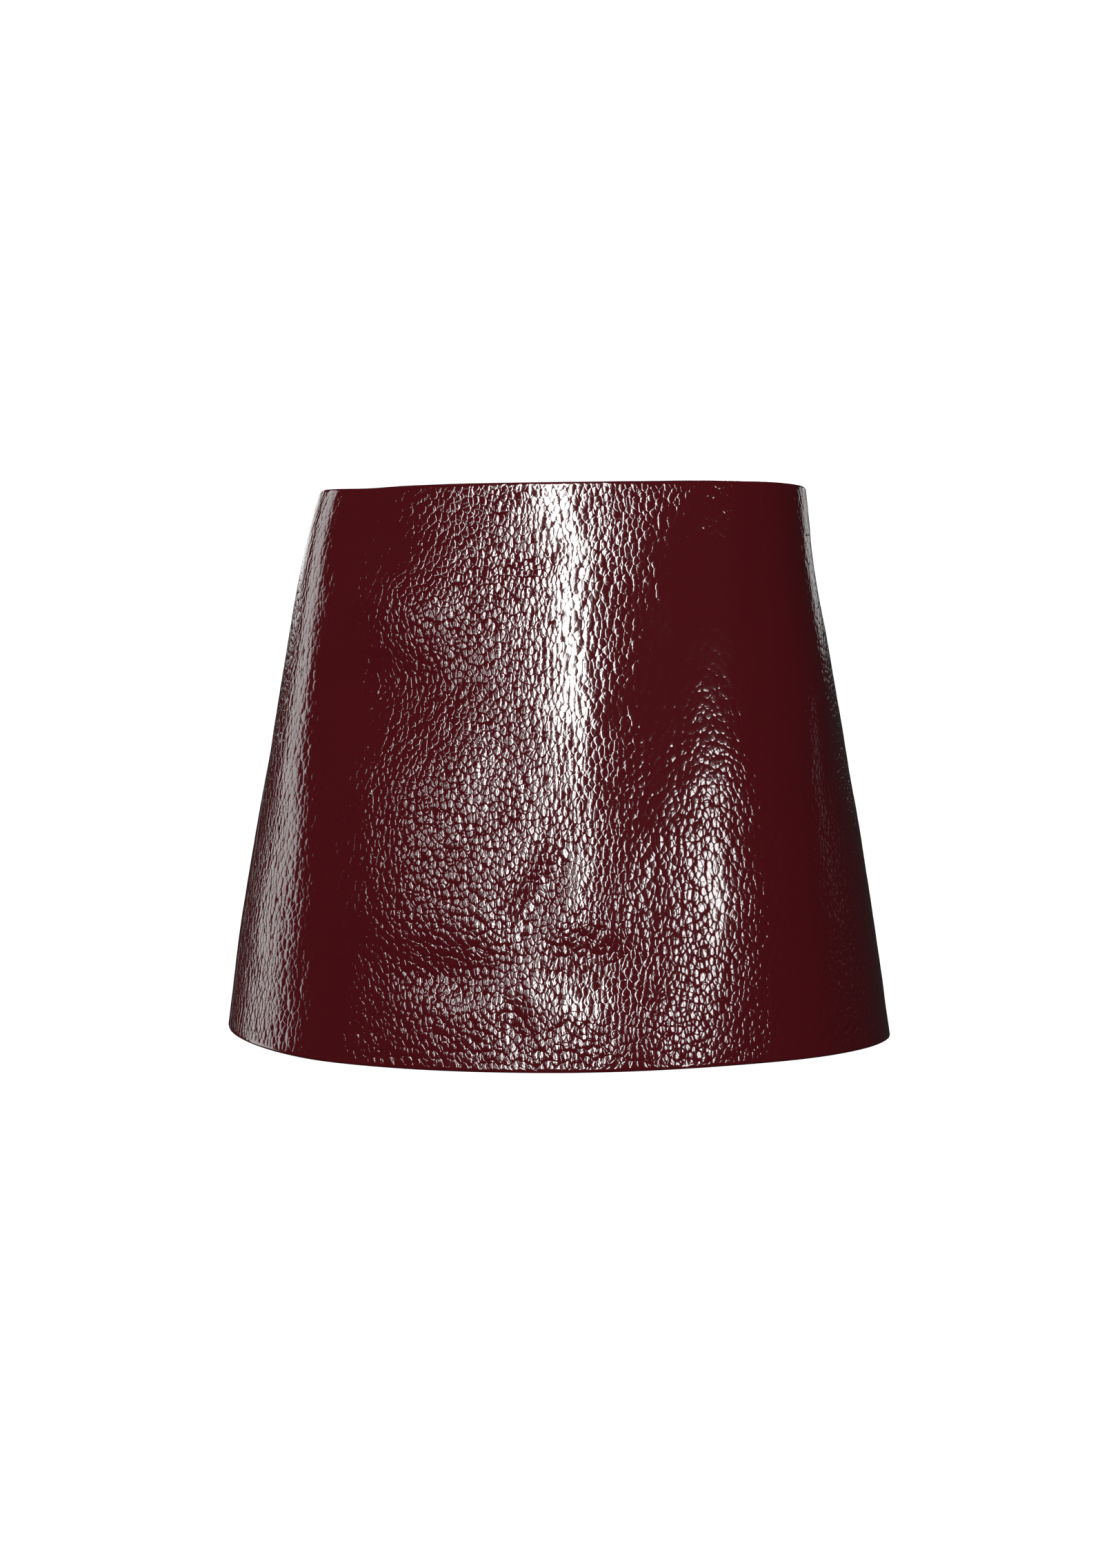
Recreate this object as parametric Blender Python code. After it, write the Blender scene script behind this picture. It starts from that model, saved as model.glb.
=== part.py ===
"""A low-rise A-line mini skirt in patent leather, filled out as it is when worn.

Frame: metres, +Z up. The front faces -Y and +X runs to the viewer's right. The origin is the centre
of the waist opening, which the wearer fills. Every drop is measured downwards from the origin.

The cloth is one surface, cut at three seams. Its level sections are superellipses whose half sizes
come from the SECTIONS table. A place on the surface is given by its turn, the share of the way round
from the centre front (positive towards +X, half a turn at the centre back), and by its drop.
"""
import math

import bmesh
import bpy
import numpy as np
from mathutils import Matrix, Vector

# Level sections of the outer surface: half sizes to each side, and how boxy the outline is
# (2 is an ellipse).
SECTION_COLUMNS = ("drop", "left", "right", "front", "back", "boxiness")
SECTIONS = (
    (-0.004, 0.1430, 0.1485, 0.0930, 0.0905, 3.30),
    (0.015, 0.1485, 0.1507, 0.0960, 0.0970, 3.25),
    (0.032, 0.1525, 0.1522, 0.0987, 0.1025, 3.15),
    (0.058, 0.1582, 0.1562, 0.1030, 0.1105, 3.00),
    (0.085, 0.1632, 0.1615, 0.1075, 0.1180, 2.90),
    (0.125, 0.1709, 0.1688, 0.1140, 0.1265, 2.70),
    (0.167, 0.1778, 0.1752, 0.1205, 0.1325, 2.55),
    (0.210, 0.1848, 0.1817, 0.1262, 0.1370, 2.42),
    (0.252, 0.1920, 0.1880, 0.1312, 0.1403, 2.33),
    (0.294, 0.1975, 0.1945, 0.1355, 0.1430, 2.28),
    (0.345, 0.2040, 0.2025, 0.1400, 0.1460, 2.25),
)

# How far below the origin the waist and hem edges lie, by turn. The first and last rows are the
# same place.
EDGE_COLUMNS = ("turn", "waist_drop", "hem_drop")
EDGES = (
    (-0.50, 0.0000, 0.3345),
    (-0.25, -0.0010, 0.3180),
    (-0.12, 0.0002, 0.3320),
    (0.00, 0.0000, 0.3355),
    (0.12, -0.0014, 0.3312),
    (0.25, -0.0030, 0.3250),
    (0.50, 0.0000, 0.3345),
)

# Leather. The two edges are turned in and glued down, so the wall is double there.
LEATHER = 0.0012
DOUBLED = 0.0024
WAIST_TURNING = 0.018
HEM_TURNING = 0.024
TURNING_STEP = 0.002

# Seams. The side seams sit a little forward of the sides, and the skirt is turned slightly on its
# wearer.
SEAM_GAP = 0.0003
SEAM_FORWARD = 0.028
SKIRT_TURNED = 0.013
LEFT_SEAM_BOW = 0.006
BOW_DROP = 0.232
BOW_REACH = 0.060

# Facets.
FRONT_COLUMNS = 40
BACK_COLUMNS = 24
BODY_ROWS = 16

# Concealed zip down the centre back.
ZIP_TOP = 0.002
ZIP_LENGTH = 0.175
TAPE_REACH = 0.012
TAPE_THICKNESS = 0.0008
COIL_WIDTH = 0.0022
COIL_THICKNESS = 0.0014
ZIP_ROWS = 12
SLIDER_TOP = 0.0055
SLIDER_LENGTH = 0.0095
SLIT_HALF_WIDTH = 0.0011

# Slider, in its own frame: X across, Y out of the leather, Z up along the seam.
PLATE_WIDTH = 0.0050
PLATE_THICKNESS = 0.0010
NECK_WIDTH = 0.0014
BODY_WIDTH = 0.0080
BODY_THICKNESS = 0.0026
ARCH_WIDTH = 0.0018
ARCH_BAR = 0.0007
ARCH_HALF_OPENING = 0.0012
ARCH_CLEARANCE = 0.0023

# Pull tab, a long drop of metal that hangs from the slider's arch.
TAB_AXIS_OUT = 0.0026
TAB_THICKNESS = 0.0011
TAB_BAR = 0.00055
TAB_NECK_HALF_WIDTH = 0.0021
TAB_HALF_WIDTH = 0.0032
TAB_LENGTH = 0.0240
EYE_HALF_WIDTH = 0.0013
EYE_LENGTH = 0.0029
TAB_LEAN = math.radians(2.0)
TAB_END_POINTS = 10

# Finishes: colour, metallic, roughness, coat.
FINISHES = {
    "patent_leather": ((0.048, 0.003, 0.005, 1.0), 0.0, 0.30, 1.0),
    "zip_tape": ((0.030, 0.004, 0.006, 1.0), 0.0, 0.85, 0.0),
    "zip_metal": ((0.360, 0.340, 0.330, 1.0), 1.0, 0.26, 0.0),
}

OUTLINE_SAMPLES = 1440


def smooth_column(positions, values, where):
    """A smooth curve through a table's column: cubic pieces whose slopes come from their neighbours."""
    slopes = np.gradient(values, positions)
    index = int(np.clip(np.searchsorted(positions, where) - 1, 0, len(positions) - 2))
    span = positions[index + 1] - positions[index]
    share = float(np.clip((where - positions[index]) / span, 0.0, 1.0))
    rise = share * share * (3.0 - 2.0 * share)
    leaving = share * (1.0 - share) ** 2 * span * slopes[index]
    arriving = share * share * (share - 1.0) * span * slopes[index + 1]
    return values[index] + rise * (values[index + 1] - values[index]) + leaving + arriving


def section_sizes(drop):
    """Half sizes and boxiness of the level section at a drop, by column name."""
    table = np.array(SECTIONS)
    return {
        name: smooth_column(table[:, 0], table[:, column], drop)
        for column, name in enumerate(SECTION_COLUMNS)
    }


class Outline:
    """One level section, read by its turn. Turn 0 is the centre front."""

    def __init__(self, drop):
        sizes = section_sizes(drop)
        angles = np.linspace(-math.pi, math.pi, OUTLINE_SAMPLES + 1)
        power = 2.0 / sizes["boxiness"]
        across = np.sign(np.sin(angles)) * np.abs(np.sin(angles)) ** power
        ahead = np.sign(np.cos(angles)) * np.abs(np.cos(angles)) ** power
        self.x = across * np.where(across < 0.0, sizes["left"], sizes["right"])
        self.y = -ahead * np.where(ahead < 0.0, sizes["back"], sizes["front"])
        steps = np.hypot(np.diff(self.x), np.diff(self.y))
        walked = np.concatenate(([0.0], np.cumsum(steps)))
        walked -= walked[OUTLINE_SAMPLES // 2]
        self.length = walked[-1] - walked[0]
        self.turns = np.where(walked < 0.0, -0.5 * walked / walked[0], 0.5 * walked / walked[-1])

    def at(self, turn):
        wrapped = (turn + 0.5) % 1.0 - 0.5
        return np.interp(wrapped, self.turns, self.x), np.interp(wrapped, self.turns, self.y)


def edge_drop(turn, column):
    """Drop of the waist or hem edge at a turn. The table is carried on past both of its ends."""
    table = np.array(EDGES)
    place = EDGE_COLUMNS.index(column)
    turns = np.concatenate((table[:-1, 0] - 1.0, table[:, 0], table[1:, 0] + 1.0))
    drops = np.concatenate((table[:-1, place], table[:, place], table[1:, place]))
    return smooth_column(turns, drops, (turn + 0.5) % 1.0 - 0.5)


def outer_point(turn, drop):
    x, y = Outline(drop).at(turn)
    return Vector((x, y, -drop))


def outward(turn, drop):
    """Unit vector square to the surface, pointing away from the wearer."""
    step = 0.002
    across = outer_point(turn + step, drop) - outer_point(turn - step, drop)
    down = outer_point(turn, drop + step) - outer_point(turn, drop - step)
    return down.cross(across).normalized()


def perimeter(drop):
    return Outline(drop).length


def left_seam(drop):
    away = min(1.0, abs(drop - BOW_DROP) / BOW_REACH)
    bow = LEFT_SEAM_BOW * (0.5 + 0.5 * math.cos(math.pi * away))
    return -0.25 + (SEAM_FORWARD + SKIRT_TURNED + bow) / perimeter(drop)


def right_seam(drop):
    return 0.25 - (SEAM_FORWARD - SKIRT_TURNED) / perimeter(drop)


def back_seam(drop):
    return 0.5 + SKIRT_TURNED / perimeter(drop)


def wall_at(turn, drop):
    """Thickness of the leather: doubled within the turnings at the two edges."""
    below_waist = drop - edge_drop(turn, "waist_drop")
    above_hem = edge_drop(turn, "hem_drop") - drop
    from_waist = (WAIST_TURNING + TURNING_STEP - below_waist) / TURNING_STEP
    from_hem = (HEM_TURNING + TURNING_STEP - above_hem) / TURNING_STEP
    share = min(1.0, max(0.0, from_waist, from_hem))
    return LEATHER + (DOUBLED - LEATHER) * share


def row_drops(turn):
    """Drops of the facet rows at a turn, from the waist edge to the hem."""
    top = edge_drop(turn, "waist_drop")
    bottom = edge_drop(turn, "hem_drop")
    slit_end = SLIDER_TOP + SLIDER_LENGTH
    drops = [top, top + SLIDER_TOP - SEAM_GAP, top + slit_end + SEAM_GAP]
    body_top = top + WAIST_TURNING + TURNING_STEP
    body_bottom = bottom - HEM_TURNING - TURNING_STEP
    drops.append(top + WAIST_TURNING)
    drops += [body_top + (body_bottom - body_top) * row / BODY_ROWS for row in range(BODY_ROWS + 1)]
    drops += [bottom - HEM_TURNING, bottom]
    return drops


def finish(name):
    colour, metallic, roughness, coat = FINISHES[name]
    material = bpy.data.materials.new(name)
    material.use_nodes = True
    shader = material.node_tree.nodes["Principled BSDF"]
    shader.inputs["Base Color"].default_value = colour
    shader.inputs["Metallic"].default_value = metallic
    shader.inputs["Roughness"].default_value = roughness
    shader.inputs["Coat Weight"].default_value = coat
    return material


def add_object(name, bm, material):
    bmesh.ops.recalc_face_normals(bm, faces=bm.faces)
    mesh = bpy.data.meshes.new(name)
    bm.to_mesh(mesh)
    bm.free()
    mesh.materials.append(material)
    thing = bpy.data.objects.new(name, mesh)
    bpy.context.scene.collection.objects.link(thing)
    return thing


def wall_between(outer, inner, present):
    """A closed wall from two grids of points. Cells that are not present are left open."""
    bm = bmesh.new()
    rows = len(outer)
    columns = len(outer[0])
    corners = {}

    def corner(side, row, column):
        key = (side, row, column)
        if key not in corners:
            grid = outer if side == 0 else inner
            corners[key] = bm.verts.new(grid[row][column])
        return corners[key]

    def is_cell(row, column):
        return 0 <= row < rows - 1 and 0 <= column < columns - 1 and present(row, column)

    def edge_wall(first, second):
        bm.faces.new((corner(0, *first), corner(0, *second), corner(1, *second), corner(1, *first)))

    for row in range(rows - 1):
        for column in range(columns - 1):
            if not is_cell(row, column):
                continue
            loop = ((row, column), (row, column + 1), (row + 1, column + 1), (row + 1, column))
            bm.faces.new([corner(0, *place) for place in loop])
            bm.faces.new([corner(1, *place) for place in reversed(loop)])
            neighbours = ((row - 1, column), (row, column + 1), (row + 1, column), (row, column - 1))
            for side, neighbour in enumerate(neighbours):
                if not is_cell(*neighbour):
                    edge_wall(loop[(side + 1) % 4], loop[side])
    return bm


def panel(name, start_seam, end_seam, columns, material, slit_at=None):
    """One cut piece of leather between two seams. slit_at names the end with the slider's slit."""
    shares = [column / columns for column in range(columns + 1)]
    rows = len(row_drops(0.0))
    outer = [[None] * (columns + 2) for _ in range(rows)]
    inner = [[None] * (columns + 2) for _ in range(rows)]
    for place in range(columns + 2):
        for row in range(rows):
            turn = 0.0
            for _ in range(3):
                drop = row_drops(turn)[row]
                around = perimeter(drop)
                start = start_seam(drop) + 0.5 * SEAM_GAP / around
                end = end_seam(drop) - 0.5 * SEAM_GAP / around
                lip = (SLIT_HALF_WIDTH - 0.5 * SEAM_GAP) / around
                turn = column_turn(place, shares, start, end, lip, slit_at)
            point = outer_point(turn, drop)
            outer[row][place] = point
            inner[row][place] = point - outward(turn, drop) * wall_at(turn, drop)
    lip_column = {"start": 0, "end": columns, None: None}[slit_at]
    wall = wall_between(outer, inner, lambda row, column: not (row == 1 and column == lip_column))
    return add_object(name, wall, material)


def column_turn(place, shares, start, end, lip, slit_at):
    """Turn of one facet column. The slit's lip takes one narrow column at its end of the panel."""
    if slit_at == "start":
        marks = [start] + [start + lip + (end - start - lip) * share for share in shares]
    elif slit_at == "end":
        marks = [start + (end - start - lip) * share for share in shares] + [end]
    else:
        half = len(shares) // 2
        middle = 0.5 * (shares[half] + shares[half + 1])
        spread = shares[: half + 1] + [middle] + shares[half + 1:]
        marks = [start + (end - start) * share for share in spread]
    return marks[place]


def zip_tape(name, side, material):
    """One half of the zip: its tape behind the leather, with the row of coil along the seam."""
    offsets = (0.5 * SEAM_GAP, COIL_WIDTH, COIL_WIDTH + 0.0002, TAPE_REACH)
    depths = (COIL_THICKNESS, COIL_THICKNESS, 0.0, 0.0)
    coil_top = SLIDER_TOP + SLIDER_LENGTH + 2.0 * SEAM_GAP
    below = WAIST_TURNING + TURNING_STEP
    drops = [ZIP_TOP, coil_top, WAIST_TURNING]
    drops += [below + (ZIP_LENGTH - below) * row / ZIP_ROWS for row in range(ZIP_ROWS + 1)]
    outer = []
    inner = []
    for drop in drops:
        around = perimeter(drop)
        out_row = []
        in_row = []
        for offset, depth in zip(offsets, depths):
            turn = back_seam(drop) + side * offset / around
            direction = outward(turn, drop)
            face = outer_point(turn, drop) - direction * (wall_at(turn, drop) + SEAM_GAP)
            out_row.append(face)
            in_row.append(face - direction * (TAPE_THICKNESS + depth))
        outer.append(out_row)
        inner.append(in_row)
    return add_object(name, wall_between(outer, inner, lambda r, c: r > 0 or c == 2), material)


def slider_frame():
    """Place and axes of the slider: on the leather's face, at the middle of its slit."""
    drop = SLIDER_TOP + 0.5 * SLIDER_LENGTH
    turn = back_seam(drop)
    out = outward(turn, drop)
    across = Vector((0.0, 0.0, 1.0)).cross(-out).normalized()
    up = across.cross(out)
    axes = Matrix((across, out, up)).transposed().to_4x4()
    return Matrix.Translation(outer_point(turn, drop)) @ axes


def box_mesh(low, high):
    bm = bmesh.new()
    bmesh.ops.create_cube(bm, size=1.0)
    centre = (Vector(low) + Vector(high)) * 0.5
    size = Vector(high) - Vector(low)
    placing = Matrix.Translation(centre) @ Matrix.Diagonal(size).to_4x4()
    bmesh.ops.transform(bm, verts=bm.verts, matrix=placing)
    return bm


def bevelled(thing, width, segments=2):
    modifier = thing.modifiers.new("edges", "BEVEL")
    modifier.width = width
    modifier.segments = segments
    modifier.limit_method = "ANGLE"
    modifier.angle_limit = math.radians(40.0)


def joined_to(thing, other):
    """Unite another solid with this one, and keep the other only as a hidden guide."""
    modifier = thing.modifiers.new("join " + other.name, "BOOLEAN")
    modifier.operation = "UNION"
    modifier.object = other
    other.hide_render = True
    other.display_type = "WIRE"


def zip_slider(frame, material):
    """Slider: a plate outside, a body behind the coils, a thin neck between them, and the tab's arch."""
    half = 0.5 * SLIDER_LENGTH
    plate_in = SEAM_GAP
    plate_out = SEAM_GAP + PLATE_THICKNESS
    body_out = -(DOUBLED + 2.0 * SEAM_GAP + TAPE_THICKNESS)
    slider = add_object(
        "zip_slider",
        box_mesh((-0.5 * PLATE_WIDTH, plate_in, -half), (0.5 * PLATE_WIDTH, plate_out, half)),
        material,
    )
    overlap = 0.0002
    neck = add_object(
        "slider_neck",
        box_mesh(
            (-0.5 * NECK_WIDTH, body_out - overlap, -half + overlap),
            (0.5 * NECK_WIDTH, plate_in + overlap, half - overlap),
        ),
        material,
    )
    body = add_object(
        "slider_body",
        box_mesh(
            (-0.5 * BODY_WIDTH, body_out - BODY_THICKNESS, -half + overlap),
            (0.5 * BODY_WIDTH, body_out, half - overlap),
        ),
        material,
    )
    arch = add_object("slider_arch", arch_mesh(plate_out - overlap), material)
    for piece in (slider, neck, body, arch):
        piece.matrix_world = frame
    for piece in (neck, body, arch):
        joined_to(slider, piece)
    return slider


def arch_mesh(base):
    """An arch over the plate that the tab's bar passes through, drawn from the side and given width."""
    inside = ARCH_HALF_OPENING
    outside = ARCH_HALF_OPENING + ARCH_BAR
    crown = SEAM_GAP + PLATE_THICKNESS + ARCH_CLEARANCE
    corner = 0.0005
    outline = (
        (base, -outside),
        (crown + ARCH_BAR - corner, -outside),
        (crown + ARCH_BAR, -outside + corner),
        (crown + ARCH_BAR, outside - corner),
        (crown + ARCH_BAR - corner, outside),
        (base, outside),
        (base, inside),
        (crown, inside),
        (crown, -inside),
        (base, -inside),
    )
    bm = bmesh.new()
    near = [bm.verts.new((-0.5 * ARCH_WIDTH, y, z)) for y, z in outline]
    face = bm.faces.new(near)
    grown = bmesh.ops.extrude_face_region(bm, geom=[face])
    moved = [item for item in grown["geom"] if isinstance(item, bmesh.types.BMVert)]
    bmesh.ops.translate(bm, verts=moved, vec=(ARCH_WIDTH, 0.0, 0.0))
    return bm


def tab_outline():
    """Right half of the drop's outline, from its top edge down to the tip."""
    swell = TAB_LENGTH - TAB_HALF_WIDTH
    points = [(TAB_NECK_HALF_WIDTH, TAB_BAR), (TAB_NECK_HALF_WIDTH, -EYE_LENGTH - 2.0 * TAB_BAR)]
    for step in range(1, 6):
        share = step / 5.0
        eased = share * share * (3.0 - 2.0 * share)
        top = -EYE_LENGTH - 2.0 * TAB_BAR
        points.append((
            TAB_NECK_HALF_WIDTH + (TAB_HALF_WIDTH - TAB_NECK_HALF_WIDTH) * eased,
            top + (-swell - top) * share,
        ))
    for step in range(1, TAB_END_POINTS):
        angle = 0.5 * math.pi * step / TAB_END_POINTS
        points.append((TAB_HALF_WIDTH * math.cos(angle), -swell - TAB_HALF_WIDTH * math.sin(angle)))
    return points


def zip_pull_tab(frame, material):
    """The pull tab: a flat drop with an eye, whose top bar runs through the slider's arch."""
    right = tab_outline()
    rim = right + [(0.0, -TAB_LENGTH)] + [(-x, z) for x, z in reversed(right)]
    eye = (
        (EYE_HALF_WIDTH, -TAB_BAR),
        (EYE_HALF_WIDTH, -EYE_LENGTH),
        (-EYE_HALF_WIDTH, -EYE_LENGTH),
        (-EYE_HALF_WIDTH, -TAB_BAR),
    )
    bm = bmesh.new()
    edges = []
    for loop in (rim, eye):
        verts = [bm.verts.new((x, -0.5 * TAB_THICKNESS, z)) for x, z in loop]
        edges += [bm.edges.new((verts[i], verts[(i + 1) % len(verts)])) for i in range(len(verts))]
    bmesh.ops.triangle_fill(bm, use_beauty=True, edges=edges)
    grown = bmesh.ops.extrude_face_region(bm, geom=list(bm.faces))
    moved = [item for item in grown["geom"] if isinstance(item, bmesh.types.BMVert)]
    bmesh.ops.translate(bm, verts=moved, vec=(0.0, TAB_THICKNESS, 0.0))
    tab = add_object("zip_pull_tab", bm, material)
    hinge = Matrix.Translation((0.0, TAB_AXIS_OUT, 0.0)) @ Matrix.Rotation(-TAB_LEAN, 4, "X")
    tab.matrix_world = frame @ hinge
    bevelled(tab, 0.00015, 1)
    return tab


def main():
    for thing in list(bpy.data.objects):
        bpy.data.objects.remove(thing, do_unlink=True)
    materials = {name: finish(name) for name in FINISHES}
    leather = materials["patent_leather"]
    panel("front_panel", left_seam, right_seam, FRONT_COLUMNS, leather)
    panel("back_panel_right", right_seam, back_seam, BACK_COLUMNS, leather, slit_at="end")
    panel("back_panel_left", lambda d: back_seam(d) - 1.0, left_seam, BACK_COLUMNS, leather, slit_at="start")
    zip_tape("zip_tape_left", 1.0, materials["zip_tape"])
    zip_tape("zip_tape_right", -1.0, materials["zip_tape"])
    frame = slider_frame()
    zip_slider(frame, materials["zip_metal"])
    zip_pull_tab(frame, materials["zip_metal"])


main()
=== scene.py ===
"""Looks of a low-rise A-line mini skirt in crinkled burgundy patent leather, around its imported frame.

Metres, +Z up, the front faces -Y. The form's tables are those of the solids: a place on the skirt is
given by its turn (share of the way round from the centre front, positive towards +X) and its drop
below the waist.
"""

import math

import bmesh
import bpy
import numpy as np
from mathutils import Matrix, Vector, noise


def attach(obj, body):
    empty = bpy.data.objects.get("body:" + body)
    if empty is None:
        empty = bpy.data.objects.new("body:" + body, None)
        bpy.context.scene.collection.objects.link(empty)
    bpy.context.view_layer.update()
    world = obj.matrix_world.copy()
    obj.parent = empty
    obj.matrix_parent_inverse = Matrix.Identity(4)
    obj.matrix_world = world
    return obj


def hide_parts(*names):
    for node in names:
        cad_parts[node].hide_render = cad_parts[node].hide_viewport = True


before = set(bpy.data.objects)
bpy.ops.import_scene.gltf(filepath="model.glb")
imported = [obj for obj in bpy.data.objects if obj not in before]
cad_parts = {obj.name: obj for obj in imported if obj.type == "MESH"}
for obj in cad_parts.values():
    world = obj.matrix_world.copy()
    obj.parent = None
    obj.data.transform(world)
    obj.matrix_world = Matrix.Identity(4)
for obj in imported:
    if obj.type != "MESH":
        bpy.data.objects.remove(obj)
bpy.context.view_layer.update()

# ---------------------------------------------------------------- form, as in the solids
SECTIONS = (  # drop, half size to the left, right, front and back, boxiness
    (-0.004, 0.1430, 0.1485, 0.0930, 0.0905, 3.30),
    (0.015, 0.1485, 0.1507, 0.0960, 0.0970, 3.25),
    (0.032, 0.1525, 0.1522, 0.0987, 0.1025, 3.15),
    (0.058, 0.1582, 0.1562, 0.1030, 0.1105, 3.00),
    (0.085, 0.1632, 0.1615, 0.1075, 0.1180, 2.90),
    (0.125, 0.1709, 0.1688, 0.1140, 0.1265, 2.70),
    (0.167, 0.1778, 0.1752, 0.1205, 0.1325, 2.55),
    (0.210, 0.1848, 0.1817, 0.1262, 0.1370, 2.42),
    (0.252, 0.1920, 0.1880, 0.1312, 0.1403, 2.33),
    (0.294, 0.1975, 0.1945, 0.1355, 0.1430, 2.28),
    (0.345, 0.2040, 0.2025, 0.1400, 0.1460, 2.25),
)
EDGES = (  # turn, waist drop, hem drop
    (-0.50, 0.0000, 0.3345),
    (-0.25, -0.0010, 0.3180),
    (-0.12, 0.0002, 0.3320),
    (0.00, 0.0000, 0.3355),
    (0.12, -0.0014, 0.3312),
    (0.25, -0.0030, 0.3250),
    (0.50, 0.0000, 0.3345),
)
LEATHER = 0.0012
DOUBLED = 0.0024
WAIST_TURNING = 0.018
HEM_TURNING = 0.024
TURNING_STEP = 0.002
SEAM_GAP = 0.0003
SEAM_FORWARD = 0.028
SKIRT_TURNED = 0.013
LEFT_SEAM_BOW = 0.006
BOW_DROP = 0.232
BOW_REACH = 0.060
ZIP_TOP = 0.002
ZIP_LENGTH = 0.175
ZIP_FLAT = 0.026
ZIP_FADE = 0.020
TAPE_START = 0.0018
TAPE_REACH = 0.012
TAPE_THICKNESS = 0.0008
TAPE_CELL = 0.0012
COIL_WIDTH = 0.0022
COIL_TOP = 0.0165
COIL_PITCH = 0.0013
COIL_RINGS = 6
COIL_SPOKES = 8
SLIDER_TOP = 0.0055
SLIDER_LENGTH = 0.0095
SLIT_HALF_WIDTH = 0.0011
SLIT_EASE = 0.0015

# ---------------------------------------------------------------- view
CAMERA_TURN = math.radians(2.5)
CAMERA_DISTANCE = 1.68
CAMERA_DROP = 0.174
VIEW_WIDTH = 0.682
SENSOR = 36.0
FLOOR = -1.0


def smooth_columns(positions, values, where):
    """Smooth curves through a table's columns, read at many places."""
    slopes = np.gradient(values, positions, axis=0)
    index = np.clip(np.searchsorted(positions, where) - 1, 0, len(positions) - 2)
    span = positions[index + 1] - positions[index]
    share = np.clip((where - positions[index]) / span, 0.0, 1.0)
    if values.ndim > 1:
        span = span[:, None]
        share = share[:, None]
    rise = share * share * (3.0 - 2.0 * share)
    leaving = share * (1.0 - share) ** 2 * span * slopes[index]
    arriving = share * share * (share - 1.0) * span * slopes[index + 1]
    return values[index] + rise * (values[index + 1] - values[index]) + leaving + arriving


class Form:
    """The skirt's outer surface, sampled finely once and then read anywhere."""

    LEVELS = 700
    TURNS = 2880

    def __init__(self):
        table = np.array(SECTIONS)
        self.low = table[0, 0] - 0.004
        self.high = table[-1, 0] + 0.004
        self.drops = np.linspace(self.low, self.high, self.LEVELS)
        sizes = smooth_columns(table[:, 0], table[:, 1:], self.drops)
        angles = np.linspace(-math.pi, math.pi, self.TURNS + 1)
        self.grid = np.linspace(-0.5, 0.5, self.TURNS + 1)
        self.x = np.zeros((self.LEVELS, self.TURNS + 1))
        self.y = np.zeros((self.LEVELS, self.TURNS + 1))
        self.around = np.zeros(self.LEVELS)
        for level, (left, right, front, back, boxiness) in enumerate(sizes):
            across = np.sign(np.sin(angles)) * np.abs(np.sin(angles)) ** (2.0 / boxiness)
            ahead = np.sign(np.cos(angles)) * np.abs(np.cos(angles)) ** (2.0 / boxiness)
            x = across * np.where(across < 0.0, left, right)
            y = -ahead * np.where(ahead < 0.0, back, front)
            walked = np.concatenate(([0.0], np.cumsum(np.hypot(np.diff(x), np.diff(y)))))
            walked -= walked[self.TURNS // 2]
            turns = np.where(walked < 0.0, -0.5 * walked / walked[0], 0.5 * walked / walked[-1])
            self.x[level] = np.interp(self.grid, turns, x)
            self.y[level] = np.interp(self.grid, turns, y)
            self.around[level] = walked[-1] - walked[0]

    def perimeter(self, drop):
        return np.interp(drop, self.drops, self.around)

    def point(self, turn, drop):
        """Positions, as an array with x, y and z last."""
        across = ((turn + 0.5) % 1.0) * self.TURNS
        down = np.clip((drop - self.low) / (self.high - self.low), 0.0, 1.0) * (self.LEVELS - 1)
        column = np.minimum(across.astype(int), self.TURNS - 1)
        row = np.minimum(down.astype(int), self.LEVELS - 2)
        right = across - column
        below = down - row

        def mixed(field):
            top = field[row, column] * (1.0 - right) + field[row, column + 1] * right
            bottom = field[row + 1, column] * (1.0 - right) + field[row + 1, column + 1] * right
            return top * (1.0 - below) + bottom * below

        return np.stack((mixed(self.x), mixed(self.y), -drop), axis=-1)

    def outward(self, turn, drop, step=0.003):
        across = self.point(turn + step, drop) - self.point(turn - step, drop)
        down = self.point(turn, drop + step) - self.point(turn, drop - step)
        normal = np.cross(down, across)
        return normal / np.linalg.norm(normal, axis=-1, keepdims=True)


FORM = Form()


def edge_drop(turn, column):
    table = np.array(EDGES)
    turns = np.concatenate((table[:-1, 0] - 1.0, table[:, 0], table[1:, 0] + 1.0))
    drops = np.concatenate((table[:-1, column], table[:, column], table[1:, column]))
    return smooth_columns(turns, drops, (np.asarray(turn) + 0.5) % 1.0 - 0.5)


def waist_drop(turn):
    return edge_drop(turn, 1)


def hem_drop(turn):
    return edge_drop(turn, 2)


def left_seam(drop):
    away = np.minimum(1.0, np.abs(drop - BOW_DROP) / BOW_REACH)
    bow = LEFT_SEAM_BOW * (0.5 + 0.5 * np.cos(math.pi * away))
    return -0.25 + (SEAM_FORWARD + SKIRT_TURNED + bow) / FORM.perimeter(drop)


def right_seam(drop):
    return 0.25 - (SEAM_FORWARD - SKIRT_TURNED) / FORM.perimeter(drop)


def back_seam(drop):
    return 0.5 + SKIRT_TURNED / FORM.perimeter(drop)


def back_seam_behind(drop):
    return back_seam(drop) - 1.0


# ---------------------------------------------------------------- uneven cloth
def scattered(column, row, seed):
    """A repeatable number from 0 to 1 for each whole-numbered place."""
    mixed = (column * 73856093) ^ (row * 19349663) ^ (seed * 83492791)
    mixed = (mixed ^ (mixed >> 13)) * 1274126177
    return ((mixed ^ (mixed >> 16)) & 0xFFFF) / 65535.0


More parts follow.
